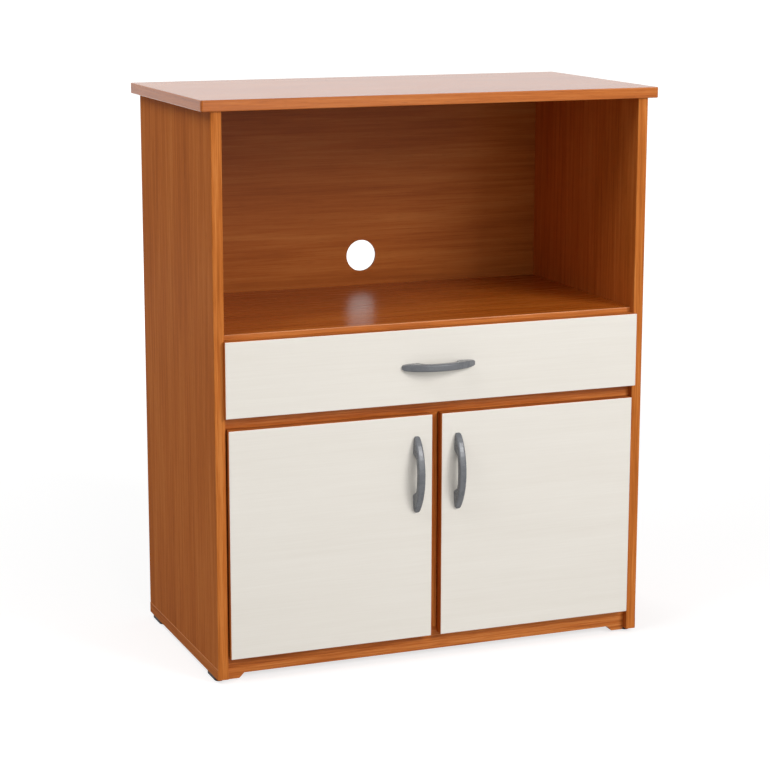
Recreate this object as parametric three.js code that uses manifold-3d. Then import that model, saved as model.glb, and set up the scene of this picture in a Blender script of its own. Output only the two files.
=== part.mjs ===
// Microwave cabinet: an open bay over one wide drawer and two cupboard doors.
// Millimetres, +Z up, the front faces -Y. Carcass sizes are measured from the
// front edges of the side panels (y = 0) and from the floor (z = 0).
import * as THREE from 'three';
import { mergeVertices } from 'three/addons/utils/BufferGeometryUtils.js';
import Module from 'manifold-3d';

const wasm = await Module();
wasm.setup();

// ---- carcass sizes ----
const bodyWidth = 684;          // over the side panels
const bodyDepth = 360;          // side panels, front edge to back edge
const overallHeight = 850;
const sideBoard = 16;           // side panel thickness
const topBoard = 16;
const topSideOverhang = 15;
const topFrontOverhang = 5;
const topCorner = 4;            // plan radius of the top's corners
const boardEase = 1.2;          // softened board edges
const shelfBoard = 16;          // bay shelf
const shelfTop = 516;           // upper face of the bay shelf
const deckBoard = 16;           // board under the drawer
const deckTop = 394;
const bottomBoard = 16;
const bottomTop = 45;
const dividerBoard = 16;
const frontRecess = 11;         // shelves, divider and plinth stand back from the side panels
const backBoard = 4;
const backRebate = 8;           // width of the rebate that the back sits in
const cableHole = 50;           // diameter
const cableHoleX = 19;
const cableHoleUp = 48;         // its centre above the bay shelf
const glideHeight = 6;
const glideLength = 46;
const glideWidth = 14;
const glideInset = 14;          // front glides from the front edge
const glideBackInset = 10;
const glideSideInset = 0.3;     // glides from the side panel's outer face
const plinthBoard = 16;
const plinthGap = 10;           // floor to the plinth's lower edge
const plinthFootGap = 2.5;      // floor to the plinth's feet
const plinthFoot = 20;          // width of each foot
const baseStripHeight = 16;
const baseStripThick = 1.6;
const baseStripProud = 0.5;

// ---- doors ----
const doorBoard = 16;
const doorProud = 5.8;          // door face in front of the side panels' edges
const doorSideGap = 2.5;        // door edge to side panel
const doorMeetingGap = 15;      // between the two doors
const doorBottomLap = 8;        // door over the bottom board's edge
const doorTopLap = 1;           // door over the edge of the board under the drawer
const frontRadius = 1.2;        // soft edges of doors and drawer front
const cornerRadius = 1.6;

// ---- drawer ----
const frontBoard = 16;
const frontProud = 8;           // drawer face in front of the side panels' edges
const lipOverlap = 2;           // the face laps over each side panel's edge
const lipGap = 0.3;             // between the lip and the side panel's edge
const frontSideGap = 2;         // between the front's back part and the side panels
const deckReveal = 3;           // face above the board under it
const shelfReveal = 7;          // strip of the shelf's edge above the face
const boxBoard = 12;
const boxLift = 10;             // box above the board under it
const boxHeadroom = 12;         // box below the shelf
const boxBackSpace = 16;        // behind the box
const drawerFloor = 3;
const drawerFloorUp = 10;       // lower face of the floor above the box's lower edge
const grooveDepth = 6;
const grooveGap = 0.15;

// ---- drawer runners ----
const runnerSpace = 12.7;       // between box and side panel
const runnerLength = 300;
const runnerSetback = 14;       // runner's front end behind the side panel's edge
const runnerHeight = 35;
const runnerSheet = 1.2;
const runnerLip = 3;
const runnerGap = 0.6;
const cageSpace = 2;            // between the two channels' webs and lips, for the ball cage
const cageSheet = 0.6;
const cageLength = 150;
const cageBack = 20;            // cage's rear end from the runner's rear end
const ballDiameter = 1.9;
const ballCount = 4;            // balls in each row
const ballEndGap = 8;           // first and last ball from the cage's ends

// ---- handles ----
const handleLength = 116;
const handleWidth = 11;
const handleProud = 24;
const handleHollow = 13.5;      // depth of the finger space at the middle
const handleFoot = 28;          // foot length along the handle
const handleTip = 3;            // thickness at the tips
const handleSlope = 6;          // sloped inner end of each foot
const handleSag = 3;            // rise of the finger space from its ends to its middle
const handleSoft = 2.6;         // edge rounding
const handleHoles = 96;         // screw centres
const handleScrewDeep = 7;
const doorHandleInset = 25.5;   // handle's centre line from the door's meeting edge
const doorHandleDrop = 89;      // handle's centre below the door's top edge

// ---- screws ----
const screwShank = 4;
const screwHole = 4.6;
const screwHead = 8;
const screwHeadHeight = 2.4;

// ---- hinges ----
const cupDiameter = 35;
const cupPocketDeep = 11.4;
const cupFit = 0.3;
const cupWall = 1.5;
const cupEdge = 5;              // door edge to the cup's pocket
const cupFlange = 1.2;
const cupFlangeLength = 60;
const cupFlangeWidth = 24;
const hingeInset = 90;          // hinge centre from the door's top and bottom edges
const plateThick = 2;
const wingHeight = 52;          // wings of the plate on the side panel
const wingWidth = 14;
const wingCorner = 5;
const wingBack = 35;            // wings' centre behind the door's back
const baseHeight = 8;           // plate's middle part, inside the arm
const baseLength = 30;
const armSheet = 1.2;
const armClear = 12;            // between the arm's two cheeks
const armTop = 12.4;            // arm's web above the side panel
const armFoot = 3;              // cheeks' lower edges above the side panel
const armBack = 61;             // arm's rear end behind the door's back
const armMargin = 2.3;          // metal round the pins
const pinRadius = 1.25;
const pinHole = 1.5;            // radius of the links' eyes
const linkThick = 2.4;
const linkEye = 2.4;            // radius round the pins
const linkTip = 1.9;            // radius of the end in the cup
const innerLinkWidth = 5.6;
const prongInner = 6.8;         // between the outer link's two prongs
const prongOuter = 10.8;        // over them

// Centre lines of a hinge's two bent links, seen from above with the door shut. Each starts at
// its pin in the arm, and gives places across from the cup's centre, towards the door's middle,
// and back from the door's back. The bend clears the door's edge as the door swings.
const outerLink = [[-18.5, 12.8], [-12, 12.4], [-5, 11.8], [1, 11.4], [5, 10.4], [8.4, 7.4],
  [11.2, 4.1], [12.1, 1.05], [11.8, -1.8], [10.2, -4.4], [8, -6.1]];
const innerLink = [[-15.5, 4], [-13, 6], [-10, 7.2], [-5.5, 8.1], [-2, 9.5], [1, 10],
  [4.5, 9.3], [7, 7], [9.2, 4.3], [10, 1.8], [10, -1.2], [8.8, -4.6]];

// ---- derived places ----
const innerX = bodyWidth / 2 - sideBoard;
const innerWidth = 2 * innerX;
const topUnder = overallHeight - topBoard;
const boardBack = bodyDepth - backBoard;
const cableHoleZ = shelfTop + cableHoleUp;
const deckUnder = deckTop - deckBoard;
const doorBottom = bottomTop - doorBottomLap;
const doorTop = deckUnder + doorTopLap;
const doorHeight = doorTop - doorBottom;
const doorHandleZ = doorTop - doorHandleDrop;
const doorFace = -doorProud;
const doorBack = doorFace + doorBoard;
const doorOuterX = innerX - doorSideGap;
const doorInnerX = doorMeetingGap / 2;
const doorWidth = doorOuterX - doorInnerX;
const frontBottom = deckTop + deckReveal;
const frontTop = shelfTop - shelfReveal;
const frontZ = (frontTop + frontBottom) / 2;
const frontFace = -frontProud;
const frontBack = frontFace + frontBoard;
const frontHalf = innerX + lipOverlap;
const boxHalf = innerX - runnerSpace;
const boxBottom = deckTop + boxLift;
const boxHeight = shelfTop - shelfBoard - boxHeadroom - boxBottom;
const boxDepth = boardBack - frontBack - boxBackSpace;
const runnerCentre = boxBottom + boxHeight / 2;
const handleX = doorInnerX + doorHandleInset;

// ---- materials ----
const paint = (color, roughness, metalness = 0) =>
  new THREE.MeshStandardMaterial({ color, roughness, metalness });
const cherry = paint(0xa8683a, 0.38);
const cherryEdge = paint(0xb9743f, 0.42);
const white = paint(0xe9e3da, 0.35);
const boxWhite = paint(0xe6e2da, 0.6);
const greyHandle = paint(0x6e6e6c, 0.4, 0.3);
const steel = paint(0xb8babd, 0.35, 0.9);
const zinc = paint(0xc4c6c8, 0.3, 0.9);
const blackPlastic = paint(0x1b1b1c, 0.55);

// ---- helpers ----
const cabinet = new THREE.Group();

function add(name, material, geometry, x = 0, y = 0, z = 0, parent = cabinet) {
  const mesh = new THREE.Mesh(geometry, material);
  mesh.name = name;
  mesh.position.set(x, y, z);
  parent.add(mesh);
  return mesh;
}

function toSolid(geometry) {
  const bare = geometry.index ? geometry.toNonIndexed() : geometry.clone();
  bare.deleteAttribute('normal');
  bare.deleteAttribute('uv');
  const merged = mergeVertices(bare, 1e-4);
  return new wasm.Manifold(new wasm.Mesh({
    numProp: 3,
    vertProperties: Float32Array.from(merged.attributes.position.array),
    triVerts: Uint32Array.from(merged.index.array),
  }));
}

function toGeometry(solid) {
  const { numProp, vertProperties, triVerts } = solid.getMesh();
  const points = new Float32Array(vertProperties.length / numProp * 3);
  for (let i = 0; i < points.length / 3; i++) {
    for (let k = 0; k < 3; k++) points[3 * i + k] = vertProperties[i * numProp + k];
  }
  const geometry = new THREE.BufferGeometry();
  geometry.setAttribute('position', new THREE.BufferAttribute(points, 3));
  geometry.setIndex([...triVerts]);
  geometry.computeVertexNormals();
  return geometry;
}

// A block between two corners.
function block(x0, x1, y0, y1, z0, z1) {
  const geometry = new THREE.BoxGeometry(x1 - x0, y1 - y0, z1 - z0);
  return geometry.translate((x0 + x1) / 2, (y0 + y1) / 2, (z0 + z1) / 2);
}

// A cylinder along Y between two depths.
function rodY(radius, x, z, y0, y1, sides = 24) {
  const geometry = new THREE.CylinderGeometry(radius, radius, y1 - y0, sides);
  return geometry.translate(x, (y0 + y1) / 2, z);
}

function roundedRect(width, height, radius) {
  const w = width / 2;
  const h = height / 2;
  const shape = new THREE.Shape();
  shape.moveTo(-w + radius, -h);
  shape.lineTo(w - radius, -h);
  shape.absarc(w - radius, -h + radius, radius, -Math.PI / 2, 0, false);
  shape.lineTo(w, h - radius);
  shape.absarc(w - radius, h - radius, radius, 0, Math.PI / 2, false);
  shape.lineTo(-w + radius, h);
  shape.absarc(-w + radius, h - radius, radius, Math.PI / 2, Math.PI, false);
  shape.lineTo(-w, -h + radius);
  shape.absarc(-w + radius, -h + radius, radius, Math.PI, 1.5 * Math.PI, false);
  return shape;
}

// A flat slab with softened edges, centred in X and Y, from z = 0 up to its thickness.
function softSlab(width, height, thick, corner, ease, segments = 2) {
  const geometry = new THREE.ExtrudeGeometry(roundedRect(width, height, corner), {
    depth: thick - 2 * ease, bevelEnabled: true, bevelThickness: ease, bevelSize: ease,
    bevelOffset: -ease, bevelSegments: segments, curveSegments: 3,
  });
  return geometry.translate(0, 0, ease);
}

// The same slab stood up: centred in X and Z, its back at y = 0 and its face at -thick.
function softFront(width, height, thick, corner, ease) {
  return softSlab(width, height, thick, corner, ease).rotateX(Math.PI / 2);
}

// A straight length of section along +Y. The section is drawn in X and Z.
function alongY(points, length) {
  const shape = new THREE.Shape(points.map(([x, z]) => new THREE.Vector2(x, z)));
  const geometry = new THREE.ExtrudeGeometry(shape, { depth: length, bevelEnabled: false });
  return geometry.rotateX(Math.PI / 2).translate(0, length, 0);
}

// A straight length of section along +Z. The section is drawn in X and Y.
function alongZ(points, length) {
  const shape = new THREE.Shape(points.map(([x, y]) => new THREE.Vector2(x, y)));
  return new THREE.ExtrudeGeometry(shape, { depth: length, bevelEnabled: false });
}

// The same along X, centred. The section is drawn in Y and Z.
function alongX(points, length) {
  const cycle = new THREE.Matrix4().makeBasis(new THREE.Vector3(0, 1, 0),
    new THREE.Vector3(0, 0, 1), new THREE.Vector3(1, 0, 0));
  return alongZ(points, length).translate(0, 0, -length / 2).applyMatrix4(cycle);
}

// A rectangle whose two corners at a0 are rounded.
function easedRect(a0, a1, b0, b1, ease) {
  const points = [[a1, b0], [a1, b1]];
  for (const [b, from] of [[b1 - ease, Math.PI / 2], [b0 + ease, Math.PI]]) {
    for (let i = 0; i <= 2; i++) {
      const a = from + i * Math.PI / 4;
      points.push([a0 + ease + ease * Math.cos(a), b + ease * Math.sin(a)]);
    }
  }
  return points;
}

const sides = [['left', -1], ['right', 1]];

// ---- carcass ----
const topWidth = bodyWidth + 2 * topSideOverhang;
const topDepth = bodyDepth + topFrontOverhang;
add('top_panel', cherry, softSlab(topWidth, topDepth, topBoard, topCorner, boardEase),
  0, bodyDepth - topDepth / 2, topUnder);

for (const [name, s] of sides) {
  const outer = s * bodyWidth / 2;
  const inner = s * innerX;
  const rebateX = inner + s * backRebate;
  const faces = [outer, inner].sort((a, b) => a - b);
  const board = easedRect(0, bodyDepth, ...faces, boardEase).map(([y, x]) => [x, y]).reverse();
  const rebate = [inner - s * 5, rebateX].sort((a, b) => a - b);
  const panel = toSolid(alongZ(board, topUnder - glideHeight)).subtract(
    toSolid(block(...rebate, boardBack, bodyDepth + 5, -5, topUnder)));
  const seat = baseStripThick - baseStripProud;
  const cutX = [outer - s * seat, outer + s * 5].sort((a, b) => a - b);
  const cut = toSolid(block(cutX[0], cutX[1], boardEase, bodyDepth + 5, -5, baseStripHeight));
  add(`side_panel_${name}`, cherry, toGeometry(panel.subtract(cut)), 0, 0, glideHeight);

  const stripX = [outer - s * seat, outer + s * baseStripProud].sort((a, b) => a - b);
  add(`base_strip_${name}`, cherryEdge,
    block(stripX[0], stripX[1], boardEase, bodyDepth, glideHeight, glideHeight + baseStripHeight));

  const glideX = outer - s * (glideSideInset + glideWidth / 2);
  const glide = () => softSlab(glideWidth, glideLength, glideHeight, glideWidth / 2 - 0.1, 0.8, 1);
  add(`glide_front_${name}`, blackPlastic, glide(), glideX, glideInset + glideLength / 2, 0);
  add(`glide_rear_${name}`, blackPlastic, glide(), glideX,
    bodyDepth - glideBackInset - glideLength / 2, 0);
}

const shelfSection = (thick) => easedRect(frontRecess, boardBack, 0, thick, boardEase);
add('bay_shelf', cherry, alongX(shelfSection(shelfBoard), innerWidth),
  0, 0, shelfTop - shelfBoard);
add('drawer_deck', cherry, alongX(shelfSection(deckBoard), innerWidth),
  0, 0, deckTop - deckBoard);
const dividerPlan = easedRect(frontRecess, boardBack, -dividerBoard / 2, dividerBoard / 2,
  boardEase).map(([y, x]) => [x, y]).reverse();
add('centre_divider', cherry, alongZ(dividerPlan, deckUnder - bottomTop), 0, 0, bottomTop);
const bottomFront = frontRecess + plinthBoard;
add('bottom_panel', cherry,
  new THREE.BoxGeometry(innerWidth, boardBack - bottomFront, bottomBoard),
  0, (boardBack + bottomFront) / 2, bottomTop - bottomBoard / 2);

const chamfer = plinthGap - plinthFootGap;
add('front_plinth', cherry, alongY([
  [-innerX, plinthFootGap], [-innerX + plinthFoot, plinthFootGap],
  [-innerX + plinthFoot + chamfer, plinthGap], [innerX - plinthFoot - chamfer, plinthGap],
  [innerX - plinthFoot, plinthFootGap], [innerX, plinthFootGap],
  [innerX, bottomTop], [-innerX, bottomTop],
], plinthBoard), 0, frontRecess, 0);

const backBottom = bottomTop - bottomBoard;
const backSheet = toSolid(block(-innerX - backRebate, innerX + backRebate,
  boardBack, bodyDepth, backBottom, topUnder));
add('back_panel', cherry, toGeometry(backSheet.subtract(
  toSolid(rodY(cableHole / 2, cableHoleX, cableHoleZ, boardBack - 5, bodyDepth + 5, 48)))));

// ---- handle: an arched bow on two flat feet, drawn along X, standing out to -Y ----
function bowHandle() {
  const half = handleLength / 2;
  const rise = handleProud - handleTip;
  const radius = (half * half + rise * rise) / (2 * rise);
  const outerAt = (x) => handleProud - radius + Math.sqrt(radius * radius - x * x);
  const gapHalf = half - handleFoot;
  const hollowHalf = gapHalf - handleSlope;
  const hollowEnd = handleHollow - handleSag;
  const sunk = -handleSoft - 1;     // below the mounting face, so that the feet are cut flat
  const outline = new THREE.Shape();
  outline.moveTo(-half, sunk);
  outline.lineTo(-gapHalf, sunk);
  outline.lineTo(-gapHalf, 0);
  outline.lineTo(-hollowHalf, hollowEnd);
  outline.quadraticCurveTo(0, handleHollow + handleSag, hollowHalf, hollowEnd);
  outline.lineTo(gapHalf, 0);
  outline.lineTo(gapHalf, sunk);
  outline.lineTo(half, sunk);
  const steps = 18;
  for (let i = 0; i <= steps; i++) {
    const x = half - 2 * half * i / steps;
    outline.lineTo(x, outerAt(x));
  }
  const bow = new THREE.ExtrudeGeometry(outline, {
    depth: handleWidth - 2 * handleSoft, bevelEnabled: true, bevelThickness: handleSoft,
    bevelSize: handleSoft, bevelOffset: -handleSoft, bevelSegments: 3, curveSegments: 6,
  }).translate(0, 0, handleSoft - handleWidth / 2).rotateZ(Math.PI);

  // Seen from the front the bow is a long rounded bar.
  const view = [];
  const turns = 36;
  for (let i = 0; i < turns; i++) {
    const a = 2 * Math.PI * (i + 0.5) / turns;
    const soft = (v) => Math.sign(v) * Math.abs(v) ** 0.4;
    view.push([half * soft(Math.cos(a)), handleWidth / 2 * soft(Math.sin(a))]);
  }
  const bar = alongY(view, handleProud + 2).translate(0, -handleProud - 2, 0);
  let solid = toSolid(bow).intersect(toSolid(bar));
  for (const x of [-handleHoles / 2, handleHoles / 2]) {
    solid = solid.subtract(toSolid(rodY(screwHole / 2, x, 0, -handleScrewDeep, 1, 12)));
  }
  return toGeometry(solid);
}

// A pan-head screw along Y: its shank runs to -Y from the head's seat at y = 0.
function panScrew(length) {
  const r = screwShank / 2;
  const h = screwHead / 2;
  const profile = [[0, -length], [r, -length], [r, 0], [h, 0], [h, screwHeadHeight * 0.5],
    [h * 0.7, screwHeadHeight * 0.9], [0, screwHeadHeight]];
  return new THREE.LatheGeometry(profile.map(([x, y]) => new THREE.Vector2(x, y)), 12);
}

function screwHoles(solid, places, front, back) {
  return places.reduce((left, [x, z]) => left.subtract(
    toSolid(rodY(screwHole / 2, x, z, front - 1, back + 1, 12))), solid);
}

// ---- drawer ----
const drawer = new THREE.Group();
cabinet.add(drawer);
const frontWidth = 2 * frontHalf;
const frontHeight = frontTop - frontBottom;
const faceSolid = toSolid(softFront(frontWidth, frontHeight, frontBoard, cornerRadius, frontRadius));
const shoulderX = innerX - frontSideGap;
const lipBack = -lipGap - frontBack;
const drawerScrews = [-1, 1].map((s) => [s * handleHoles / 2, 0]);
let frontSolid = faceSolid;
for (const s of [-1, 1]) {
  const x = [s * shoulderX, s * (frontHalf + 5)].sort((a, b) => a - b);
  frontSolid = frontSolid.subtract(
    toSolid(block(x[0], x[1], lipBack, 5, -frontHeight, frontHeight)));
}
frontSolid = screwHoles(frontSolid, drawerScrews, -frontBoard, 0);
add('drawer_front', white, toGeometry(frontSolid), 0, frontBack, frontZ, drawer);

const boxBack = frontBack + boxDepth;
const floorZ = boxBottom + drawerFloorUp;
const groove = grooveDepth + grooveGap;
for (const [name, s] of sides) {
  const x = [s * (boxHalf - boxBoard), s * boxHalf].sort((a, b) => a - b);
  const board = toSolid(block(x[0], x[1], frontBack, boxBack, boxBottom, boxBottom + boxHeight));
  const cutX = [s * (boxHalf - boxBoard - 5), s * (boxHalf - boxBoard + groove)].sort((a, b) => a - b);
  const cut = toSolid(block(cutX[0], cutX[1], frontBack - 5, boxBack + 5,
    floorZ - grooveGap, floorZ + drawerFloor + grooveGap));
  add(`drawer_side_${name}`, boxWhite, toGeometry(board.subtract(cut)), 0, 0, 0, drawer);
}
const floorHalf = boxHalf - boxBoard + grooveDepth;
add('drawer_floor', boxWhite,
  block(-floorHalf, floorHalf, frontBack, boxBack, floorZ, floorZ + drawerFloor), 0, 0, 0, drawer);
add('drawer_back', boxWhite, block(-boxHalf + boxBoard, boxHalf - boxBoard,
  boxBack - boxBoard, boxBack, floorZ + drawerFloor, boxBottom + boxHeight), 0, 0, 0, drawer);
add('drawer_handle', greyHandle, bowHandle(), 0, frontFace, frontZ, drawer);
const screwReach = handleScrewDeep - 1;
for (const [name, s] of sides) {
  add(`drawer_handle_screw_${name}`, zinc, panScrew(frontBoard + screwReach),
    s * handleHoles / 2, frontBack, frontZ, drawer);
}

// ---- drawer runners: a channel on the side panel, one on the drawer inside it, and the
// ball cage between them, which goes half as far as the drawer ----
const cages = new THREE.Group();
cabinet.add(cages);
for (const [name, s] of sides) {
  const h = runnerHeight / 2;
  const deep = runnerSpace - runnerSheet - runnerGap;
  const t = runnerSheet;
  const outerRunner = [[0, -h], [deep, -h], [deep, -h + runnerLip], [deep - t, -h + runnerLip],
    [deep - t, -h + t], [t, -h + t], [t, h - t], [deep - t, h - t], [deep - t, h - runnerLip],
    [deep, h - runnerLip], [deep, h], [0, h]];
  const g = h - runnerLip - runnerGap;
  const reach = runnerSpace - t - cageSpace;
  const innerRunner = [[0, -g], [reach, -g], [reach, -g + t], [t, -g + t], [t, g - t],
    [reach, g - t], [reach, g], [0, g]];
  const outer = outerRunner.map(([x, z]) => [s * (innerX - x), z]);
  const inner = innerRunner.map(([x, z]) => [s * (boxHalf + x), z]);
  add(`runner_fixed_${name}`, steel, alongY(outer, runnerLength), 0, runnerSetback, runnerCentre);
  add(`runner_drawer_${name}`, steel, alongY(inner, runnerLength), 0, runnerSetback, runnerCentre,
    drawer);

  // The cage's web stands in the space between the webs, and its arms reach round the drawer's
  // channel and carry the balls.
  const near = t + (cageSpace - cageSheet) / 2;
  const ballZ = (h - t + g) / 2;
  const arm = ballZ + cageSheet / 2;
  const tip = deep - t - runnerGap;
  const section = [[near, -arm], [tip, -arm], [tip, -arm + cageSheet],
    [near + cageSheet, -arm + cageSheet], [near + cageSheet, arm - cageSheet],
    [tip, arm - cageSheet], [tip, arm], [near, arm]];
  let cage = toSolid(alongY(section.map(([x, z]) => [s * (innerX - x), z]), cageLength));
  const ballX = s * (innerX - (near + tip) / 2);
  for (let i = 0; i < ballCount; i++) {
    const y = ballEndGap + i * (cageLength - 2 * ballEndGap) / (ballCount - 1);
    for (const z of [-ballZ, ballZ]) {
      cage = cage.add(toSolid(new THREE.SphereGeometry(ballDiameter / 2, 6, 4)
        .translate(ballX, y, z)));
    }
  }
  add(`runner_cage_${name}`, zinc, toGeometry(cage), 0,
    runnerSetback + runnerLength - cageBack - cageLength, runnerCentre, cages);
}

// ---- doors ----
const doorZ = (doorTop + doorBottom) / 2;
const pocketRadius = cupDiameter / 2;
const cupInset = cupEdge + pocketRadius;
const hingeZ = [['lower', doorBottom + hingeInset], ['upper', doorTop - hingeInset]];

const panelAt = -(doorSideGap + cupInset);    // side panel's face in the links' measure

// A rod along Z, centred in height.
function rodZ(radius, x, y, height, sides = 12) {
  return new THREE.CylinderGeometry(radius, radius, height, sides).rotateX(Math.PI / 2)
    .translate(x, y, 0);
}

// A flat bar of even thickness along a line, with round ends, centred in height.
function bentBar(line, s, height, samples = 12) {
  const curve = new THREE.SplineCurve(line.map(([x, y]) => new THREE.Vector2(-s * x, y)));
  const half = linkThick / 2;
  const left = [];
  const right = [];
  for (let i = 0; i < samples; i++) {
    const t = i / (samples - 1);
    const at = curve.getPointAt(t);
    const along = curve.getTangentAt(t);
    left.push([at.x - half * along.y, at.y + half * along.x]);
    right.push([at.x + half * along.y, at.y - half * along.x]);
  }
  const bar = toSolid(alongZ([...right, ...left.reverse()], height).translate(0, 0, -height / 2));
  const [x, y] = line[line.length - 1];
  return bar.add(toSolid(rodZ(linkTip, -s * x, y, height, 10)));
}

function outerLinkSolid(s) {
  const [x, y] = outerLink[0];
  const prong = bentBar(outerLink, s, (prongOuter - prongInner) / 2);
  const lift = (prongOuter + prongInner) / 4;
  return prong.translate([0, 0, lift]).add(prong.translate([0, 0, -lift]))
    .add(toSolid(rodZ(linkEye, -s * x, y, prongOuter)))
    .subtract(toSolid(rodZ(pinHole, -s * x, y, prongOuter + 2)));
}

function innerLinkSolid(s) {
  const [x, y] = innerLink[0];
  return bentBar(innerLink, s, innerLinkWidth)
    .add(toSolid(rodZ(linkEye, -s * x, y, innerLinkWidth)))
    .subtract(toSolid(rodZ(pinHole, -s * x, y, innerLinkWidth + 2)));
}

// The arm is a channel over its plate on the side panel. Its two cheeks hold the links' pins.
function hingeArm(s) {
  const at = (u) => -s * (panelAt + u);         // u is the height above the side panel
  const [innerU, innerY] = [innerLink[0][0] - panelAt, innerLink[0][1]];
  const [outerU, outerY] = [outerLink[0][0] - panelAt, outerLink[0][1]];
  const outline = [[armFoot, armBack], [armFoot, outerY]];
  for (let i = 0; i <= 5; i++) {
    const a = Math.PI * (1 + i / 5);
    outline.push([innerU + armMargin * Math.cos(a), innerY + armMargin * Math.sin(a)]);
  }
  outline.push([armTop, outerY], [armTop, armBack - 6], [armFoot + 4, armBack]);
  const cheekPlan = outline.map(([u, y]) => [at(u), y]);
  const cheek = toSolid(alongZ(s > 0 ? cheekPlan.reverse() : cheekPlan, armSheet));
  const webX = [at(armTop - armSheet), at(armTop)].sort((a, b) => a - b);
  const webFront = outerY + linkEye + 2;
  const baseX = [at(0), at(baseHeight)].sort((a, b) => a - b);
  const wings = softSlab(wingWidth, wingHeight, plateThick, wingCorner, 0.4, 1);
  let arm = cheek.translate([0, 0, armClear / 2])
    .add(cheek.translate([0, 0, -armClear / 2 - armSheet]))
    .add(toSolid(block(...webX, webFront, armBack - 6, -armClear / 2 - 0.1, armClear / 2 + 0.1)))
    .add(toSolid(block(...baseX, wingBack - baseLength / 2, wingBack + baseLength / 2,
      -armClear / 2 - 0.1, armClear / 2 + 0.1)))
    .add(toSolid(wings.rotateX(Math.PI / 2).rotateZ(-s * Math.PI / 2)
      .translate(at(0), wingBack, 0)));
  for (const [u, y] of [[innerU, innerY], [outerU, outerY]]) {
    arm = arm.add(toSolid(rodZ(pinRadius, at(u), y, armClear + armSheet)));
  }
  return arm;
}

const outerLinks = {};
const innerLinks = {};
for (const [name] of sides) {
  outerLinks[name] = new THREE.Group();
  innerLinks[name] = new THREE.Group();
  cabinet.add(outerLinks[name], innerLinks[name]);
}

for (const [name, s] of sides) {
  const door = new THREE.Group();
  cabinet.add(door);
  const centreX = s * (doorOuterX + doorInnerX) / 2;
  const cupX = s * (doorOuterX - cupInset);
  const holes = [-1, 1].map((k) => [s * handleX - centreX, doorHandleZ + k * handleHoles / 2 - doorZ]);
  let leaf = toSolid(softFront(doorWidth, doorHeight, doorBoard, cornerRadius, frontRadius));
  leaf = screwHoles(leaf, holes, -doorBoard, 0);
  for (const [, z] of hingeZ) {
    leaf = leaf.subtract(toSolid(rodY(pocketRadius, cupX - centreX, z - doorZ,
      -cupPocketDeep, 5, 28)));
  }
  add(`door_${name}`, white, toGeometry(leaf), centreX, doorBack, doorZ, door);

  const handle = add(`door_handle_${name}`, greyHandle, bowHandle(), s * handleX, doorFace,
    doorHandleZ, door);
  handle.rotation.y = Math.PI / 2;
  for (const [level, k] of [['lower', -1], ['upper', 1]]) {
    add(`door_handle_screw_${name}_${level}`, zinc, panScrew(doorBoard + screwReach),
      s * handleX, doorBack, doorHandleZ + k * handleHoles / 2, door);
  }

  for (const [level, z] of hingeZ) {
    // The cup sinks into the door's back and its flange lies flat on it.
    const cupRadius = pocketRadius - cupFit;
    let cup = toSolid(rodY(cupRadius, 0, 0, -cupPocketDeep + cupFit, cupFlange / 2, 28));
    cup = cup.add(toSolid(softSlab(cupFlangeWidth, cupFlangeLength, cupFlange, 5, 0.3, 1)
      .rotateX(-Math.PI / 2)));
    cup = cup.subtract(toSolid(rodY(cupRadius - cupWall, 0, 0, -cupPocketDeep + cupFit + cupWall,
      cupFlange + 5, 28)));
    add(`hinge_cup_${name}_${level}`, zinc, toGeometry(cup), cupX, doorBack, z, door);

    add(`hinge_arm_${name}_${level}`, zinc, toGeometry(hingeArm(s)), cupX, doorBack, z);
    add(`hinge_link_outer_${name}_${level}`, zinc, toGeometry(outerLinkSolid(s)), cupX,
      doorBack, z, outerLinks[name]);
    add(`hinge_link_inner_${name}_${level}`, zinc, toGeometry(innerLinkSolid(s)), cupX,
      doorBack, z, innerLinks[name]);
  }
}

// The origin is the middle of the object's footprint, handles included.
const foremost = frontFace - handleProud;
cabinet.position.y = -(foremost + bodyDepth) / 2;

export default cabinet;
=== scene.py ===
"""Microwave cabinet: materials, small fixings, floor, light and camera.

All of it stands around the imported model, in metres: +Z up, the front faces -Y, and the floor
is z = 0.
"""
import math

import bmesh
import bpy
from mathutils import Matrix, Vector


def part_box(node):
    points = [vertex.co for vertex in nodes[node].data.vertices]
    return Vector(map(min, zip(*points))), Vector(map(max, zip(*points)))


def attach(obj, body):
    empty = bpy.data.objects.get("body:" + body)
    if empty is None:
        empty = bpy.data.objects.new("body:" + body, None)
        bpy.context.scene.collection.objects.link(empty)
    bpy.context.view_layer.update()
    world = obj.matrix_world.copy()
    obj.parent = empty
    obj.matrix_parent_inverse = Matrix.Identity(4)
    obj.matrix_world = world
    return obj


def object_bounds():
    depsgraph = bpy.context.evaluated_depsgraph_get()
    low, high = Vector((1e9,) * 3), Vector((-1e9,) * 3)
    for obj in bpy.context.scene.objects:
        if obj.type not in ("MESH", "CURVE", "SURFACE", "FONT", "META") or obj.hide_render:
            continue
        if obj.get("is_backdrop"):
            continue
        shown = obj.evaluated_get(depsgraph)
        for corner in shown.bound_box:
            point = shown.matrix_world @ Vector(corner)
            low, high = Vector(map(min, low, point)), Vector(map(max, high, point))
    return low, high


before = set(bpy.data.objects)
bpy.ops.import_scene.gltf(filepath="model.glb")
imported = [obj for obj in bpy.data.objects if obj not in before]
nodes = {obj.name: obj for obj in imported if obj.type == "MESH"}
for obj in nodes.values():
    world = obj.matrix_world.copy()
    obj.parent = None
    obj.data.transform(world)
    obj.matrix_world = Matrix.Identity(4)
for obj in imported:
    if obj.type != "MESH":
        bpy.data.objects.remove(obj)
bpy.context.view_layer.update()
X, Y, Z = 0, 1, 2
MM = 0.001


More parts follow.
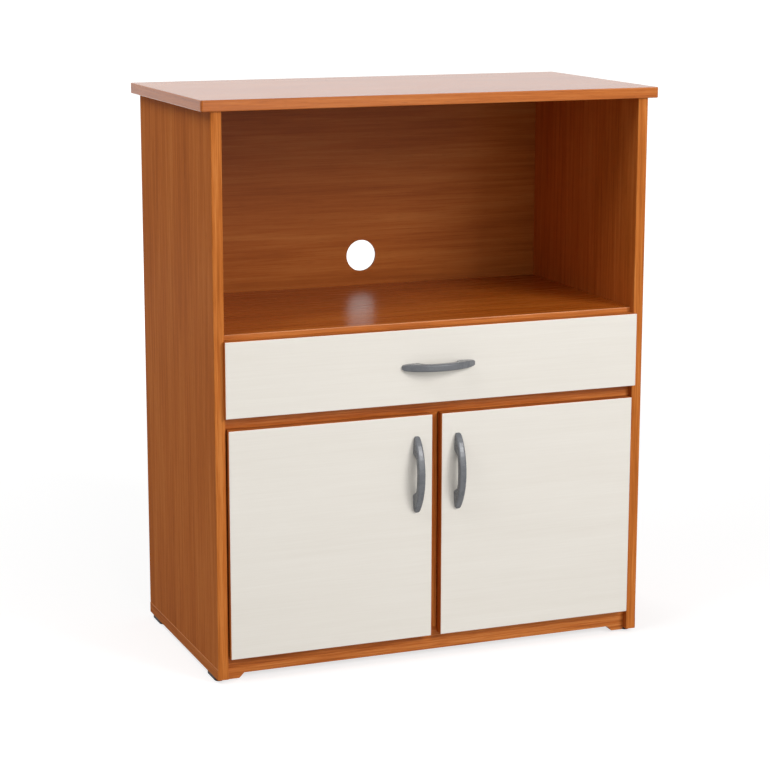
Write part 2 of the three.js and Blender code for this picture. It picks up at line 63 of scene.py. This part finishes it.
# ---- camera: the photograph's place, turned and tilted as it was ----
CAMERA_PLACE = Vector((-1.2689, -3.1467, 1.0995))
CAMERA_YAW = -0.3790
CAMERA_PITCH = -0.2063
CAMERA_ROLL = 0.0015
CAMERA_LENS = 104.8            # mm
CAMERA_SENSOR = 36             # mm wide


def make_camera():
    data = bpy.data.cameras.new("photo_camera")
    data.sensor_width = CAMERA_SENSOR
    data.lens = CAMERA_LENS
    camera = bpy.data.objects.new("photo_camera", data)
    bpy.context.collection.objects.link(camera)
    ahead = Vector((-math.sin(CAMERA_YAW) * math.cos(CAMERA_PITCH),
                    math.cos(CAMERA_YAW) * math.cos(CAMERA_PITCH),
                    math.sin(CAMERA_PITCH)))
    level = Vector((math.cos(CAMERA_YAW), math.sin(CAMERA_YAW), 0))
    right = Matrix.Rotation(-CAMERA_ROLL, 3, ahead) @ level
    up = right.cross(ahead)
    turn = Matrix((right, up, -ahead)).transposed()
    camera.matrix_world = Matrix.Translation(CAMERA_PLACE) @ turn.to_4x4()
    bpy.context.scene.camera = camera


make_camera()


# ---- shader building ----
def srgb(red, green, blue):
    """A screen colour, 0 to 255, as a linear colour."""
    def linear(value):
        value /= 255
        return value / 12.92 if value <= 0.04045 else ((value + 0.055) / 1.055) ** 2.4
    return linear(red), linear(green), linear(blue), 1.0


class Finish:
    """A material and the nodes that feed its one principled shader."""

    def __init__(self, name, roughness=0.4, metallic=0.0):
        self.material = bpy.data.materials.new(name)
        self.material.use_nodes = True
        self.tree = self.material.node_tree
        self.tree.nodes.clear()
        self.shader = self.tree.nodes.new("ShaderNodeBsdfPrincipled")
        self.shader.inputs["Roughness"].default_value = roughness
        self.shader.inputs["Metallic"].default_value = metallic
        output = self.tree.nodes.new("ShaderNodeOutputMaterial")
        self.tree.links.new(self.shader.outputs[0], output.inputs[0])
        self.place = self.tree.nodes.new("ShaderNodeTexCoord").outputs["Object"]

    def set(self, node, values):
        for key, value in values.items():
            socket = node.inputs[key]
            if isinstance(value, bpy.types.NodeSocket):
                self.tree.links.new(value, socket)
            else:
                socket.default_value = value

    def feed(self, **values):
        """Feeds the shader's own sockets, with _ for a space in a socket's name."""
        spaced = {key.replace("_", " "): value for key, value in values.items()}
        self.set(self.shader, spaced)

    def math(self, operation, first, second=0.0):
        node = self.tree.nodes.new("ShaderNodeMath")
        node.operation = operation
        self.set(node, {0: first, 1: second})
        return node.outputs[0]

    def stretch(self, vector, scale, shift=(0, 0, 0)):
        node = self.tree.nodes.new("ShaderNodeMapping")
        self.set(node, {"Vector": vector, "Scale": scale, "Location": shift})
        return node.outputs[0]

    def noise(self, vector, scale, detail=2.0, roughness=0.5, distortion=0.0):
        node = self.tree.nodes.new("ShaderNodeTexNoise")
        self.set(node, {"Vector": vector, "Scale": scale, "Detail": detail,
                        "Roughness": roughness, "Distortion": distortion})
        return node.outputs["Fac"]

    def cells(self, vector, scale):
        """A random grey for each cell of a Voronoi pattern."""
        node = self.tree.nodes.new("ShaderNodeTexVoronoi")
        self.set(node, {"Vector": vector, "Scale": scale})
        split = self.tree.nodes.new("ShaderNodeSeparateColor")
        self.set(split, {0: node.outputs["Color"]})
        return split.outputs[0]

    def ramp(self, value, *stops):
        """Turns a value into a colour between stops of (place, colour)."""
        node = self.tree.nodes.new("ShaderNodeValToRGB")
        points = node.color_ramp.elements
        while len(points) < len(stops):
            points.new(0.5)
        for point, (place, colour) in zip(points, stops):
            point.position = place
            point.color = colour
        self.set(node, {0: value})
        return node.outputs[0]

    def between(self, value, low, high, start=0.0, end=1.0):
        """Maps low..high to start..end, held at the ends."""
        node = self.tree.nodes.new("ShaderNodeMapRange")
        self.set(node, {"Value": value, "From Min": low, "From Max": high,
                        "To Min": start, "To Max": end})
        return node.outputs[0]

    def mix(self, share, first, second, blend="MIX"):
        node = self.tree.nodes.new("ShaderNodeMix")
        node.data_type = "RGBA"
        node.blend_type = blend
        self.set(node, {0: share, 6: first, 7: second})
        return node.outputs[2]

    def axis(self, index):
        """One coordinate of the place on the surface, with the object at rest."""
        node = self.tree.nodes.new("ShaderNodeSeparateXYZ")
        self.set(node, {0: self.place})
        return node.outputs[index]

    def bump(self, height, strength, distance):
        node = self.tree.nodes.new("ShaderNodeBump")
        self.set(node, {"Height": height, "Strength": strength, "Distance": distance})
        self.feed(Normal=node.outputs[0])


def blend_of(finish, parts):
    """A weighted sum of (weight, value) parts."""
    total = finish.math("MULTIPLY", parts[0][1], parts[0][0])
    for weight, value in parts[1:]:
        total = finish.math("ADD", total, finish.math("MULTIPLY", value, weight))
    return total


# Each layer of the grain: its scale along the board as a share of that across it, and the
# noise's scale, detail, roughness and distortion.
GRAIN = (
    (0.12, 22, 2, 0.5, 0.4),             # broad bands
    (0.03, 150, 4, 0.6, 0.2),            # streaks
    (0.02, 620, 3, 0.6, 0.0),            # fine lines
    (0.035, 1500, 1, 0.5, 0.0),          # pores
)
USUAL = (0.3, 0.7)                       # the range that most of a noise lies in


def grain_of(finish, along, shift=(0, 0, 0)):
    """Wood grain that runs along one axis: broad bands, streaks, fine lines and pores."""
    layers = []
    for share, *noise in GRAIN:
        scale = [1.0, 1.0, 1.0]
        scale[along] = share
        layers.append(finish.noise(finish.stretch(finish.place, scale, shift), *noise))
    return layers


# ---- laminates ----
CHERRY_DARK = srgb(152, 75, 21)
CHERRY = srgb(190, 105, 42)
CHERRY_LIGHT = srgb(211, 131, 65)
CHERRY_PORE = srgb(120, 55, 14)
# painted highlight colour for the tops of edges that catch the light
CHERRY_PAINTED_HIGHLIGHT = srgb(226, 160, 110)
BACK_PAINTED_SHADE = (0.62, 0.60, 0.54, 1.0)     # painted shade: the back is darker than the boards, for the dim inside of the bay
SHELF_STAIN = (1.0, 0.92, 0.60, 1.0)     # the bay's shelf is yellower
PAINTED_REAR_SHADE = (0.66, 0.60, 0.55, 1.0)     # painted shade: the shelf darker towards the back, where the bay is dim
PAINTED_REAR_SHADE_REACH = 230 * MM              # how far in front of the back the painted shade starts
CHIPBOARD = [srgb(150, 112, 70), srgb(190, 155, 108), srgb(212, 184, 140)]
HARDBOARD = [srgb(122, 88, 57), srgb(150, 112, 76)]

PLAIN_BOARD = (0.30, 0.45, 0.25)         # shares of bands, streaks and lines in the figure
PLAIN_SPREAD = 0.19                      # half the range of tones from dark to light
EDGE_BAND = ((0.10, 0.45, 0.45), 0.11)   # both of them for an edge band
PORE_DEPTH = 0.30                        # share of the pores' colour in an open pore
SEAM_DEPTH = 0.55                        # and in the middle of a seam
SEAM_WIDTH = (0.10 * MM, 0.30 * MM)      # off the seam's middle, where it is full and gone
PAINTED_HIGHLIGHT_SHARE = 0.7                         # share of the painted highlight's colour on an edge's top
BARE_ROUGHNESS = 0.8
EDGE_LACQUER = 0.10                      # on the edges of a board with a polished top


def cherry_figure(finish, along, shift, weights=PLAIN_BOARD, spread=PLAIN_SPREAD):
    """The colour of cherry with its grain along an axis, and the lines and pores in it.

    The shift gives each board and edge band a stretch of grain of its own.
    """
    bands, streaks, lines, pores = grain_of(finish, along, shift)
    tone = blend_of(finish, list(zip(weights, (bands, streaks, lines))))
    colour = finish.ramp(tone, (0.5 - spread, CHERRY_DARK), (0.5, CHERRY),
                         (0.5 + spread, CHERRY_LIGHT))
    open_pores = finish.between(pores, 0.60, 0.72)
    share = finish.math("MULTIPLY", open_pores, PORE_DEPTH)
    return finish.mix(share, colour, CHERRY_PORE), lines, open_pores


def bare_board(finish, kind):
    """The colour of a board's core: wood chips, or the fine fibres of hardboard."""
    if kind == "chipboard":
        chips = finish.cells(finish.stretch(finish.place, (1.0, 1.0, 0.35)), 420)
        return finish.ramp(chips, *zip((0.1, 0.5, 0.9), CHIPBOARD))
    fibres = finish.noise(finish.place, 900, detail=5, roughness=0.7, distortion=1.5)
    return finish.ramp(fibres, *zip((0.35, 0.65), HARDBOARD))


def with_seam(finish, colour, axis, place):
    """Darkens a thin line at a plane, or at +-place for the two ends of a board along X."""
    value = finish.axis(axis)
    if place > 0 and axis == X:
        value = finish.math("ABSOLUTE", value)
    off = finish.math("ABSOLUTE", finish.math("SUBTRACT", value, place))
    return finish.mix(finish.between(off, *SEAM_WIDTH, SEAM_DEPTH, 0.0), colour, CHERRY_PORE)


def cherry(name, along, shift=(0, 0, 0), *, seams=(), end_bands=None, front_band=None,
           band_light=0.22, raw=None, roughness=0.3, specular=0.1, lacquer=0.0,
           polished_top=None, painted_highlight_top=None, spread=PLAIN_SPREAD, stain=None,
           painted_shade_rear=None):
    """Cherry laminate on a board, with its grain along an axis and its pattern shifted.

    seams: (axis, place) planes where an edge band starts.
    end_bands: (axis, place, along), beyond +-place the grain turns.
    front_band: depth up to which an edge band has finer lines and is lighter by band_light.
    raw: (axis, place, kind), beyond that plane the board is bare.
    polished_top: height over which the face has its full lacquer.
    painted_highlight_top: height over which an edge's top gets a painted highlight, where it
    catches more light.
    spread: half the range of tones from dark to light.
    stain: a colour over the whole face, and painted_shade_rear: depth at which the painted
    shade PAINTED_REAR_SHADE, darker towards the back, is full.
    """
    finish = Finish(name, roughness)
    if polished_top is not None:
        lacquer = finish.between(finish.axis(Z), polished_top - 0.9 * MM,
                                 polished_top - 0.1 * MM, EDGE_LACQUER, lacquer)
    finish.feed(Specular_IOR_Level=specular, Coat_Weight=lacquer, Coat_Roughness=roughness)

    colour, lines, open_pores = cherry_figure(finish, along, shift, spread=spread)
    if stain:
        colour = finish.mix(1.0, colour, stain, "MULTIPLY")
    # painted shade: the face darkens towards the back, where the bay gets little light
    if painted_shade_rear is not None:
        backwards = finish.between(finish.axis(Y), painted_shade_rear - PAINTED_REAR_SHADE_REACH, painted_shade_rear)
        colour = finish.mix(backwards, colour, PAINTED_REAR_SHADE, "MULTIPLY")
    if end_bands:
        axis, place, direction = end_bands
        off = finish.math("ABSOLUTE", finish.axis(axis))
        beyond = finish.math("GREATER_THAN", off, place)
        band_colour = cherry_figure(finish, direction, (0.31, 0.17, 0.23))[0]
        colour = finish.mix(beyond, colour, band_colour)
    if front_band is not None:
        at_front = finish.math("LESS_THAN", finish.axis(Y), front_band)
        band_colour = cherry_figure(finish, along, (0.53, 0.29, 0.41), *EDGE_BAND)[0]
        band_colour = finish.mix(band_light, band_colour, CHERRY_LIGHT)
        colour = finish.mix(at_front, colour, band_colour)
    # painted highlight along the top of an edge
    if painted_highlight_top is not None:
        at_top = finish.between(finish.axis(Z), painted_highlight_top - 1.0 * MM, painted_highlight_top - 0.3 * MM)
        if front_band is not None:
            at_top = finish.math("MULTIPLY", at_top, at_front)
        colour = finish.mix(finish.math("MULTIPLY", at_top, PAINTED_HIGHLIGHT_SHARE), colour, CHERRY_PAINTED_HIGHLIGHT)
    for axis, place in seams:
        colour = with_seam(finish, colour, axis, place)
    gloss = finish.between(lines, *USUAL, roughness - 0.03, roughness + 0.06)
    if raw:
        axis, place, kind = raw
        bare = finish.math("GREATER_THAN", finish.axis(axis), place)
        colour = finish.mix(bare, colour, bare_board(finish, kind))
        gloss = finish.math("MAXIMUM", gloss, finish.math("MULTIPLY", bare, BARE_ROUGHNESS))
    finish.feed(Base_Color=colour, Roughness=gloss)
    finish.bump(finish.math("SUBTRACT", lines, open_pores), 0.06, 0.12 * MM)
    return finish.material


def banded_front(node_name):
    """A front of off-white laminate with a faint pressed grain and cherry edge bands."""
    finish = Finish("laminate_" + node_name)
    bands, streaks, lines, pores = grain_of(finish, X)
    tone = blend_of(finish, [(0.30, bands), (0.35, streaks), (0.35, lines)])
    white = finish.ramp(tone, (0.32, srgb(230, 224, 214)), (0.68, srgb(236, 231, 222)))
    low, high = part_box(node_name)
    beyond = {}
    for axis in (X, Z):
        off = finish.math("SUBTRACT", finish.axis(axis), (low[axis] + high[axis]) / 2)
        reach = (high[axis] - low[axis]) / 2 - FRONT_BAND
        beyond[axis] = finish.math("GREATER_THAN", finish.math("ABSOLUTE", off), reach)
    upright = cherry_figure(finish, Z, (0.15, 0.45, 0.75), *EDGE_BAND)[0]
    level = cherry_figure(finish, X, (0.65, 0.25, 0.35), *EDGE_BAND)[0]
    band = finish.mix(beyond[X], level, upright)
    on_band = finish.math("MAXIMUM", beyond[X], beyond[Z])
    finish.feed(Base_Color=finish.mix(on_band, white, band),
                Roughness=finish.between(lines, *USUAL, 0.34, 0.42),
                Specular_IOR_Level=finish.between(on_band, 0.0, 1.0, 0.5, 0.05))
    finish.bump(blend_of(finish, [(0.6, lines), (0.4, pores)]), 0.05, 0.15 * MM)
    return finish.material


def board_white(name):
    """Foiled drawer board: off-white with a fine pebble."""
    finish = Finish(name)
    pebble = finish.noise(finish.place, 1100, detail=2)
    cloud = finish.noise(finish.place, 9, detail=3)
    finish.feed(Base_Color=finish.ramp(cloud, (0.35, srgb(222, 218, 209)),
                                       (0.65, srgb(230, 226, 218))),
                Roughness=finish.between(pebble, *USUAL, 0.48, 0.60))
    finish.bump(pebble, 0.10, 0.1 * MM)
    return finish.material


BRUSHED = 0.03                           # scale along the brushing, as a share


def metal(name, dark, light, roughness, metallic=1.0, brushed=None):
    """Plated or painted metal: a cloudy tone and a fine texture, drawn out along brushed."""
    finish = Finish(name, metallic=metallic)
    scale = [1.0, 1.0, 1.0]
    if brushed is not None:
        scale[brushed] = BRUSHED
    fine = finish.noise(finish.stretch(finish.place, scale), 2600, detail=2)
    cloud = finish.noise(finish.place, 60, detail=3)
    tone = blend_of(finish, [(0.6, cloud), (0.4, fine)])
    finish.feed(Base_Color=finish.ramp(tone, (0.35, dark), (0.65, light)),
                Roughness=finish.between(tone, *USUAL, roughness - 0.05, roughness + 0.07))
    finish.bump(fine, 0.05, 0.05 * MM)
    return finish.material


def moulded_black(name):
    """Black plastic with a fine moulded grain."""
    finish = Finish(name)
    fine = finish.noise(finish.place, 1800, detail=2)
    finish.feed(Base_Color=finish.ramp(fine, (0.35, srgb(13, 13, 14)),
                                       (0.65, srgb(22, 22, 23))),
                Roughness=finish.between(fine, *USUAL, 0.45, 0.6), Specular_IOR_Level=0.2)
    finish.bump(fine, 0.2, 0.08 * MM)
    return finish.material


# ---- boards and their finishes ----
board_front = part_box("bay_shelf")[0].y
panel_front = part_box("side_panel_left")[0].y
panel_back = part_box("side_panel_left")[1].y
top_low, top_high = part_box("top_panel")
back_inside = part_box("back_panel")[0].y
strip_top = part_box("base_strip_left")[1].z
shelf_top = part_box("bay_shelf")[1].z
BAND = 1.3 * MM                # thickness of the cabinet's edge bands
FRONT_BAND = 0.5 * MM          # and of those on the drawer front and the doors
BACK_BARE = 3 * MM             # beyond this depth the back panel is bare

finishes = {
    "top_panel": cherry("cherry_top", X,
                        seams=[(Y, top_low.y + BAND), (X, top_high.x - BAND)],
                        end_bands=(X, top_high.x - BAND, Y), specular=0.16, lacquer=0.40,
                        roughness=0.22, polished_top=top_high.z),
    "side_panel": cherry("cherry_upright", Z, (0.2, 0.1, 0.3),
                         seams=[(Y, panel_front + BAND)],
                         raw=(Y, panel_back - 0.05 * MM, "chipboard"), specular=0.0,
                         lacquer=0.07, front_band=panel_front + BAND, spread=0.24),
    "centre_divider": cherry("cherry_divider", Z, (0.6, 0.4, 0.1),
                             seams=[(Y, board_front + BAND)], specular=0.0, lacquer=0.10,
                             front_band=board_front + BAND),
    # the bay shelf: painted shade darkens it towards the back, and a painted highlight runs
    # along its front edge's top
    "bay_shelf": cherry("cherry_shelf", X, (0.1, 0.7, 0.5), seams=[(Y, board_front + BAND)],
                        roughness=0.26, specular=0.16, front_band=board_front + BAND,
                        painted_highlight_top=shelf_top, stain=SHELF_STAIN, painted_shade_rear=back_inside),
    "shelf": cherry("cherry_level", X, (0.1, 0.7, 0.5), seams=[(Y, board_front + BAND)],
                    roughness=0.26, specular=0.16, front_band=board_front + BAND,
                    band_light=0.0),
    # the back's face is darkened all over, painted shade for the dim bay
    "back_panel": cherry("cherry_back", X, (0.4, 0.2, 0.8),
                         raw=(Y, back_inside + BACK_BARE, "hardboard"), roughness=0.34,
                         stain=BACK_PAINTED_SHADE),
    # the base strips get a painted highlight along their tops
    "base_strip": cherry("cherry_edging", Y, (0.3, 0.3, 0.9), roughness=0.34, specular=0.0,
                         lacquer=0.10, painted_highlight_top=strip_top),
    "drawer_front": banded_front("drawer_front"),
    "door_left": banded_front("door_left"),
    "door_right": banded_front("door_right"),
    "drawer_box": board_white("drawer_box"),
    "handle": metal("grey_handle", srgb(97, 99, 103), srgb(107, 109, 113), 0.27, 0.0),
    "runner": metal("runner_steel", srgb(168, 170, 173), srgb(196, 198, 200), 0.34,
                    brushed=Y),
    "zinc": metal("zinc", srgb(190, 191, 192), srgb(212, 213, 214), 0.34, 0.75),
    "screw": metal("screw_steel", srgb(176, 176, 172), srgb(200, 200, 196), 0.30),
    "glide": moulded_black("black_plastic"),
}

FINISH_OF = [                  # the first start of a node's name that fits gives its finish
    ("top_panel", "top_panel"), ("side_panel", "side_panel"), ("base_strip", "base_strip"),
    ("glide", "glide"), ("bay_shelf", "bay_shelf"), ("drawer_deck", "shelf"),
    ("bottom_panel", "shelf"), ("centre_divider", "centre_divider"),
    ("front_plinth", "shelf"), ("back_panel", "back_panel"),
    ("drawer_front", "drawer_front"), ("drawer_handle_screw", "screw"),
    ("drawer_handle", "handle"), ("drawer_", "drawer_box"), ("runner", "runner"),
    ("door_handle_screw", "screw"), ("door_handle", "handle"), ("door_left", "door_left"),
    ("door_right", "door_right"), ("hinge", "zinc"),
]
SOFT_ANGLE = math.radians(30)  # edges that turn by more than this are rounded
WELD_REACH = 0.01 * MM


def soften(piece, width):
    """Rounds a board's sharp edges and evens its shading."""
    weld = piece.modifiers.new("weld", "WELD")
    weld.merge_threshold = WELD_REACH
    bevel = piece.modifiers.new("soft_edges", "BEVEL")
    bevel.width = width
    bevel.segments = 2
    bevel.limit_method = "ANGLE"
    bevel.angle_limit = SOFT_ANGLE
    bevel.harden_normals = True


# Millimetres by the start of a node's name.
SOFTENED = {"side_panel": 0.7, "bay_shelf": 0.7, "drawer_deck": 0.7, "bottom_panel": 0.5,
            "centre_divider": 0.7, "front_plinth": 0.6, "drawer_side": 0.5,
            "drawer_back": 0.5, "base_strip": 0.25, "runner": 0.15, "hinge_arm": 0.25}

for name, node in nodes.items():
    kind = next(kind for start, kind in FINISH_OF if name.startswith(start))
    node.data.materials.clear()
    node.data.materials.append(finishes[kind])
    for start, width in SOFTENED.items():
        if name.startswith(start):
            soften(node, width * MM)


# ---- small fixings ----
def link_piece(name, mesh, material, body):
    """Adds a mesh as a piece of the object that rides on a body."""
    piece = bpy.data.objects.new(name, mesh)
    bpy.context.collection.objects.link(piece)
    piece.data.materials.append(material)
    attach(piece, body)


# A screw head's outline as (share of the radius, share of the height), from its seat up.
HEAD_OUTLINE = [(1.0, 0.0), (1.0, 0.35), (0.94, 0.62), (0.78, 0.86), (0.52, 1.0),
                (0.40, 1.0)]
HEAD_SIDES = 24
CROSS_ARM = 0.11               # half width of the recess's arms, as a share of the radius
CROSS_REACH = 0.36
CROSS_FLOOR = (0.8, 0.35)      # the recess's floor: its share of the mouth, and its height


def cross_head(radius, height):
    """A screw head that stands along +Z from its seat, with a cross recess."""
    mesh = bmesh.new()

    def ring(share, level):
        angles = [2 * math.pi * i / HEAD_SIDES for i in range(HEAD_SIDES)]
        return [mesh.verts.new((radius * share * math.cos(angle),
                                radius * share * math.sin(angle),
                                height * level)) for angle in angles]

    def wall(low, high):
        for i in range(len(low)):
            j = (i + 1) % len(low)
            mesh.faces.new((low[i], low[j], high[j], high[i]))

    rings = [ring(share, level) for share, level in HEAD_OUTLINE]
    for low, high in zip(rings, rings[1:]):
        wall(low, high)
    mesh.faces.new(list(reversed(rings[0])))

    # The recess: the flat on top drops along a cross-shaped wall to its floor.
    arm, reach = CROSS_ARM, CROSS_REACH
    outline = [(reach, arm), (arm, arm), (arm, reach), (-arm, reach), (-arm, arm),
               (-reach, arm), (-reach, -arm), (-arm, -arm), (-arm, -reach), (arm, -reach),
               (arm, -arm), (reach, -arm)]
    share, level = CROSS_FLOOR
    mouth = [mesh.verts.new((radius * x, radius * y, height)) for x, y in outline]
    floor = [mesh.verts.new((radius * x * share, radius * y * share, height * level))
             for x, y in outline]
    wall(mouth, floor)
    mesh.faces.new(floor)

    # The flat between the ring and the cross: each ring point joins its nearest cross point.
    inner = rings[-1]
    count = len(outline)
    nearest = [min(range(count), key=lambda k: (mouth[k].co - v.co).length) for v in inner]
    for i in range(HEAD_SIDES):
        j = (i + 1) % HEAD_SIDES
        chain = [nearest[i]]
        while chain[-1] != nearest[j]:
            chain.append((chain[-1] + 1) % count)
        mesh.faces.new([inner[i], inner[j]] + [mouth[k] for k in reversed(chain)])
    bmesh.ops.recalc_face_normals(mesh, faces=mesh.faces)
    return mesh


def copies(name, pattern, places):
    """One mesh with the pattern set at each of places, which are matrices."""
    mesh = bpy.data.meshes.new(name)
    master = bpy.data.meshes.new(name + "_one")
    pattern.to_mesh(master)
    whole = bmesh.new()
    for place in places:
        count = len(whole.verts)
        whole.from_mesh(master)
        whole.verts.ensure_lookup_table()
        bmesh.ops.transform(whole, matrix=place, verts=whole.verts[count:])
    for face in whole.faces:
        face.smooth = False
    whole.to_mesh(mesh)
    whole.free()
    bpy.data.meshes.remove(master)
    return mesh


def towards(place, direction):
    """A matrix that stands a pattern at place, along direction."""
    turn = Vector(direction).to_track_quat("Z", "X").to_matrix().to_4x4()
    return Matrix.Translation(place) @ turn


SIDES = (("left", -1), ("right", 1))
CUP_SCREW_PITCH = 48 * MM
PLATE_SCREW_PITCH = 38 * MM
PLATE_THICK = 2 * MM
PLATE_BACK = 45.2 * MM         # plate screws behind the side panel's front edge
ADJUSTERS_BACK = (37 * MM, 56 * MM)
RUNNER_WEB = 1.2 * MM          # thickness of the fixed channel's web
RUNNER_SCREWS = (-130 * MM, 0, 130 * MM)    # from the middle of its length

cup_screw = cross_head(3.2 * MM, 1.4 * MM)
plate_screw = cross_head(4.0 * MM, 1.8 * MM)
adjuster = cross_head(3.0 * MM, 0.9 * MM)
runner_screw = cross_head(3.4 * MM, 0.45 * MM)
plate_places = []
adjuster_places = []
runner_places = []
for side, sign in SIDES:
    cup_places = []
    for level in ("lower", "upper"):
        low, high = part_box(f"hinge_cup_{side}_{level}")
        middle = (low + high) / 2
        for k in (-0.5, 0.5):
            cup_places.append(towards((middle.x, high.y, middle.z + k * CUP_SCREW_PITCH),
                                      (0, 1, 0)))
        low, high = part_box(f"hinge_arm_{side}_{level}")
        middle = (low + high) / 2
        arm_top, panel_face = (high.x, low.x) if sign < 0 else (low.x, high.x)
        for k in (-0.5, 0.5):
            place = (panel_face - sign * PLATE_THICK, panel_front + PLATE_BACK,
                     middle.z + k * PLATE_SCREW_PITCH)
            plate_places.append(towards(place, (-sign, 0, 0)))
        for back in ADJUSTERS_BACK:
            place = (arm_top, panel_front + back, middle.z)
            adjuster_places.append(towards(place, (-sign, 0, 0)))
    link_piece(f"hinge_cup_screws_{side}", copies("cup_screws", cup_screw, cup_places),
               finishes["screw"], f"door_{side}")
    low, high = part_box(f"runner_fixed_{side}")
    web_face = (low.x if sign < 0 else high.x) - sign * RUNNER_WEB
    for y in RUNNER_SCREWS:
        place = (web_face, (low.y + high.y) / 2 + y, (low.z + high.z) / 2)
        runner_places.append(towards(place, (-sign, 0, 0)))
for name, pattern, places in (("hinge_plate_screws", plate_screw, plate_places),
                              ("hinge_adjusting_screws", adjuster, adjuster_places),
                              ("runner_screws", runner_screw, runner_places)):
    link_piece(name, copies(name, pattern, places), finishes["screw"], "cabinet")

NAIL_RADIUS = 1.7 * MM
NAIL_HEIGHT = 0.5 * MM
NAIL_ROWS = 6                  # along each upright edge of the back
NAIL_SIDE = 4 * MM             # in from the back's side edges
NAIL_END = 12 * MM             # and from its lower and upper ones
NAIL_COLUMNS = (-200 * MM, 0, 200 * MM)


def back_nails():
    """Nail heads that hold the back to the side panels and to the boards in front of it."""
    nail = bmesh.new()
    bmesh.ops.create_uvsphere(nail, u_segments=12, v_segments=8, radius=1.0)
    bmesh.ops.transform(nail, verts=nail.verts,
                        matrix=Matrix.Diagonal((NAIL_RADIUS, NAIL_RADIUS, NAIL_HEIGHT, 1)))
    low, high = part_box("back_panel")
    pitch = (high.z - low.z - 2 * NAIL_END) / (NAIL_ROWS - 1)
    spots = []
    for sign in (-1, 1):
        for i in range(NAIL_ROWS):
            spots.append((sign * (high.x - NAIL_SIDE), low.z + NAIL_END + i * pitch))
    for board in ("bottom_panel", "drawer_deck", "bay_shelf"):
        board_low, board_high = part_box(board)
        for x in NAIL_COLUMNS:
            spots.append((x, (board_low.z + board_high.z) / 2))
    places = [towards((x, high.y, z), (0, 1, 0)) for x, z in spots]
    return copies("back_nails", nail, places)


link_piece("back_nails", back_nails(), finishes["screw"], "cabinet")


# ---- floor, light and surroundings ----
FLOOR_REACH = 40
FLOOR_GREY = 0.45
GLOW_NEAR = (1.5, 0.70)        # distance from the origin, and how the floor glows there
GLOW_FAR = (4.0, 1.0)
WORLD_LEVEL = 0.30             # the world's light on the object; seen directly, it is 1
WHITE = (1, 1, 1, 1)
LAMP_TARGET = Vector((0, 0, 0.45))
LAMPS = (                      # name, place, size, watts, and whether gloss mirrors it
    ("key", (1.9, -3.5, 2.5), 1.4, 84, True),
    ("front", (0.3, -3.8, 1.4), 2.4, 40, True),
    ("fill", (-2.1, -0.7, 2.8), 1.5, 30, True),
    ("back", (-1.0, 4.0, 1.4), 1.3, 60, False),    # it would glare in the top's lacquer
)


def seen_directly(tree):
    """1 for rays that show the background itself: seen, mirrored or seen through glass."""
    path = tree.nodes.new("ShaderNodeLightPath")
    total = path.outputs["Is Camera Ray"]
    for kind in ("Is Glossy Ray", "Is Transmission Ray"):
        either = tree.nodes.new("ShaderNodeMath")
        either.operation = "MAXIMUM"
        tree.links.new(total, either.inputs[0])
        tree.links.new(path.outputs[kind], either.inputs[1])
        total = either.outputs[0]
    return total


def make_floor():
    """A pale floor. Near the object it takes shadows, and far off, where no lamp reaches, it
    glows white."""
    reach = FLOOR_REACH
    mesh = bpy.data.meshes.new("floor")
    mesh.from_pydata([(-reach, -reach, 0), (reach, -reach, 0), (reach, reach, 0),
                      (-reach, reach, 0)], [], [(0, 1, 2, 3)])
    floor = bpy.data.objects.new("floor", mesh)
    bpy.context.collection.objects.link(floor)
    material = bpy.data.materials.new("pale_floor")
    material.use_nodes = True
    tree = material.node_tree
    tree.nodes.clear()
    matt = tree.nodes.new("ShaderNodeBsdfDiffuse")
    matt.inputs["Color"].default_value = (FLOOR_GREY, FLOOR_GREY, FLOOR_GREY, 1)
    glow = tree.nodes.new("ShaderNodeEmission")
    glow.inputs["Color"].default_value = WHITE
    place = tree.nodes.new("ShaderNodeTexCoord")
    distance = tree.nodes.new("ShaderNodeVectorMath")
    distance.operation = "LENGTH"
    tree.links.new(place.outputs["Object"], distance.inputs[0])
    level = tree.nodes.new("ShaderNodeMapRange")
    for end, (away, glow_there) in (("Min", GLOW_NEAR), ("Max", GLOW_FAR)):
        level.inputs["From " + end].default_value = away
        level.inputs["To " + end].default_value = glow_there
    tree.links.new(distance.outputs["Value"], level.inputs["Value"])
    strength = tree.nodes.new("ShaderNodeMath")
    strength.operation = "MULTIPLY"
    tree.links.new(level.outputs[0], strength.inputs[1])
    tree.links.new(seen_directly(tree), strength.inputs[0])
    tree.links.new(strength.outputs[0], glow.inputs["Strength"])
    both = tree.nodes.new("ShaderNodeAddShader")
    tree.links.new(matt.outputs[0], both.inputs[0])
    tree.links.new(glow.outputs[0], both.inputs[1])
    output = tree.nodes.new("ShaderNodeOutputMaterial")
    tree.links.new(both.outputs[0], output.inputs[0])
    mesh.materials.append(material)
    floor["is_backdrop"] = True


def make_world():
    """Even light from all round, and a white background where it is seen directly."""
    world = bpy.data.worlds.new("studio")
    bpy.context.scene.world = world
    world.use_nodes = True
    tree = world.node_tree
    tree.nodes.clear()
    strength = tree.nodes.new("ShaderNodeMapRange")
    strength.inputs["To Min"].default_value = WORLD_LEVEL
    strength.inputs["To Max"].default_value = 1.0
    tree.links.new(seen_directly(tree), strength.inputs["Value"])
    sky = tree.nodes.new("ShaderNodeBackground")
    sky.inputs["Color"].default_value = WHITE
    tree.links.new(strength.outputs[0], sky.inputs["Strength"])
    output = tree.nodes.new("ShaderNodeOutputWorld")
    tree.links.new(sky.outputs[0], output.inputs[0])


def soft_lamp(name, place, size, watts, mirrored):
    """A square lamp that shines on the object's middle."""
    data = bpy.data.lights.new(name, "AREA")
    data.shape = "SQUARE"
    data.size = size
    data.energy = watts
    lamp = bpy.data.objects.new(name, data)
    bpy.context.collection.objects.link(lamp)
    lamp.matrix_world = towards(place, Vector(place) - LAMP_TARGET)
    lamp.visible_glossy = mirrored


make_floor()
make_world()
for lamp in LAMPS:
    soft_lamp(*lamp)
bpy.context.scene.view_settings.view_transform = "Standard"

low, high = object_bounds()
